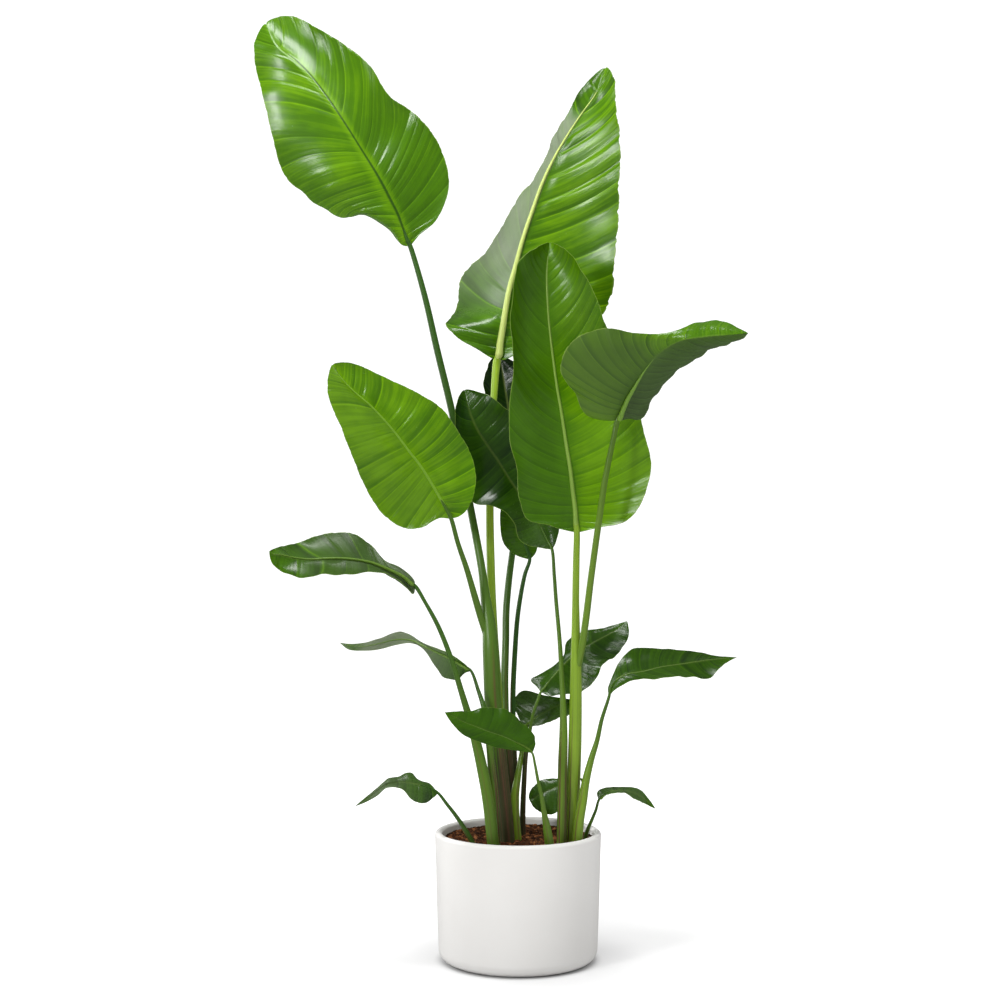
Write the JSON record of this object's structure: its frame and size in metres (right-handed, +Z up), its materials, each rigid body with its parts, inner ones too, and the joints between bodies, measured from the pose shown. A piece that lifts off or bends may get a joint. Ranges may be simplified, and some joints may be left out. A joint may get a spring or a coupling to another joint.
{
  "type": "potted bird of paradise plant",
  "caption": "Tall leafy bird of paradise house plant with paddle-shaped leaves on long stalks, growing from soil in a plain round pot.",
  "frame": {"origin": "centre of the pot's flat underside, on the pot's axis", "axes": "+Z up, the plant's height; -Y is the side that the picture shows, with +X to the viewer's right"},
  "size_m": [0.8773, 0.4898, 1.7141],
  "materials": {
    "leaf": "waxy living leaf, satin gloss, bright green with paler ribs",
    "dark_leaf": "waxy living leaf, satin gloss, deep green",
    "stalk": "smooth green leaf stalk, semi-matte, browner at the foot",
    "soil": "rough dark coir and bark potting soil",
    "pot": "matte off-white"
  },
  "bodies": {
    "root": {"tall_left_leaf_blade": "leaf", "tall_left_leaf_stalk": "stalk", "tall_right_leaf_blade": "leaf", "tall_right_leaf_stalk": "stalk", "centre_leaf_blade": "leaf", "centre_leaf_stalk": "stalk", "mid_left_leaf_blade": "leaf", "mid_left_leaf_stalk": "stalk", "right_arching_leaf_blade": "leaf", "right_arching_leaf_stalk": "stalk", "inner_dark_leaf_blade": "dark_leaf", "inner_dark_leaf_stalk": "stalk", "rear_leaf_blade": "dark_leaf", "rear_leaf_stalk": "stalk", "rear_small_leaf_blade": "dark_leaf", "rear_small_leaf_stalk": "stalk", "left_arching_leaf_blade": "leaf", "left_arching_leaf_stalk": "stalk", "left_twisted_leaf_blade": "leaf", "left_twisted_leaf_stalk": "stalk", "front_leaf_blade": "dark_leaf", "front_leaf_stalk": "stalk", "low_right_rear_leaf_blade": "dark_leaf", "low_right_rear_leaf_stalk": "stalk", "low_middle_leaf_blade": "dark_leaf", "low_middle_leaf_stalk": "stalk", "low_right_leaf_blade": "leaf", "low_right_leaf_stalk": "stalk", "foot_middle_leaf_blade": "dark_leaf", "foot_middle_leaf_stalk": "stalk", "foot_left_leaf_blade": "leaf", "foot_left_leaf_stalk": "stalk", "foot_right_leaf_blade": "leaf", "foot_right_leaf_stalk": "stalk", "potting_soil": "soil", "planter_pot": "pot"}
  },
  "joints": []
}
